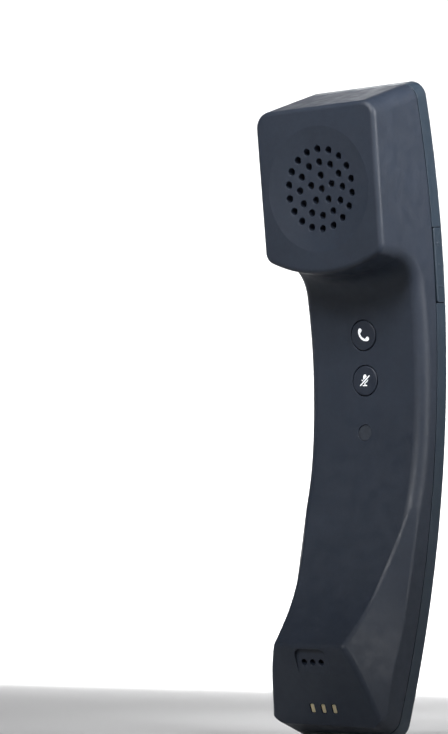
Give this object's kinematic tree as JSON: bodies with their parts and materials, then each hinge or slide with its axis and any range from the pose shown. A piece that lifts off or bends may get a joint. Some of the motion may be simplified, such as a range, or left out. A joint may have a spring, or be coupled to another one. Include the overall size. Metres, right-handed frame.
{
  "type": "cordless telephone handset",
  "caption": "Cordless telephone handset with a curved outer cover, dished ear grille, sloping mouth end with charging contacts, grip keys and a side volume key.",
  "frame": {"origin": "centre of the grip, half way along the handset, where a hand holds it", "axes": "+Z along the handset towards the ear end, +Y out through the curved outer cover, +X out through the side with the volume key"},
  "size_m": [0.0468, 0.043, 0.2043],
  "materials": {
    "cover_plastic": "fine satin moulded blue-grey plastic",
    "housing_plastic": "fine textured moulded blue-grey plastic",
    "key_plastic": "smooth matt key plastic",
    "plug_rubber": "matt soft rubber",
    "status_light": "lit green light pipe",
    "link_light": "lit blue light pipe",
    "board": "solder-masked circuit board",
    "chip": "black moulded component",
    "shield": "tinned steel can",
    "switch": "black switch body",
    "lamp": "clear resin",
    "fabric_mesh": "woven acoustic mesh",
    "foam": "closed-cell foam",
    "speaker_frame": "moulded speaker frame",
    "speaker_film": "thin formed film",
    "copper": "enamelled copper winding",
    "steel": "plated steel",
    "battery_wrap": "wrapped cell pouch",
    "gold": "gold-plated contact",
    "socket": "natural nylon socket"
  },
  "bodies": {
    "handset": {"outer_cover": "cover_plastic", "inner_housing": "housing_plastic", "screw_plug": "plug_rubber", "grip_screw": "steel", "key_switches": "switch", "volume_pivot": "steel", "volume_board": "board", "volume_switches": "switch", "status_lens": "status_light", "link_lens": "link_light", "lamp_board": "board", "lamps": "lamp", "main_board": "board", "radio_can": "shield", "board_chips": "chip", "ear_mesh": "fabric_mesh", "speaker_gasket": "foam", "speaker_basket": "speaker_frame", "speaker_cone": "speaker_film", "voice_coil": "copper", "speaker_yoke": "steel", "speaker_magnet": "steel", "battery": "battery_wrap", "battery_pad": "foam", "battery_socket": "socket", "mic_mesh": "fabric_mesh", "mic_boot": "plug_rubber", "microphone": "steel", "charge_contacts": "gold", "contact_carrier": "chip", "charge_board": "board"},
    "call_key": {"call_key": "key_plastic"},
    "mute_key": {"mute_key": "key_plastic"},
    "volume_key": {"volume_key": "cover_plastic"}
  },
  "joints": [
    {"name": "call_press", "type": "slide", "parent": "handset", "child": "call_key", "axis": [0, 0.99, 0.1408], "range_m": [0, 0.0006], "stiffness_N_per_m": 3000},
    {"name": "mute_press", "type": "slide", "parent": "handset", "child": "mute_key", "axis": [0, 0.998, 0.0626], "range_m": [0, 0.0006], "stiffness_N_per_m": 3000},
    {"name": "volume_rock", "type": "hinge", "parent": "handset", "child": "volume_key", "pos_m": [0.02036, -0.00017, 0.0452], "axis": [0, 0.9902, 0.1395], "range_deg": [-2.2, 2.2], "stiffness_Nm_per_rad": 0.5}
  ]
}
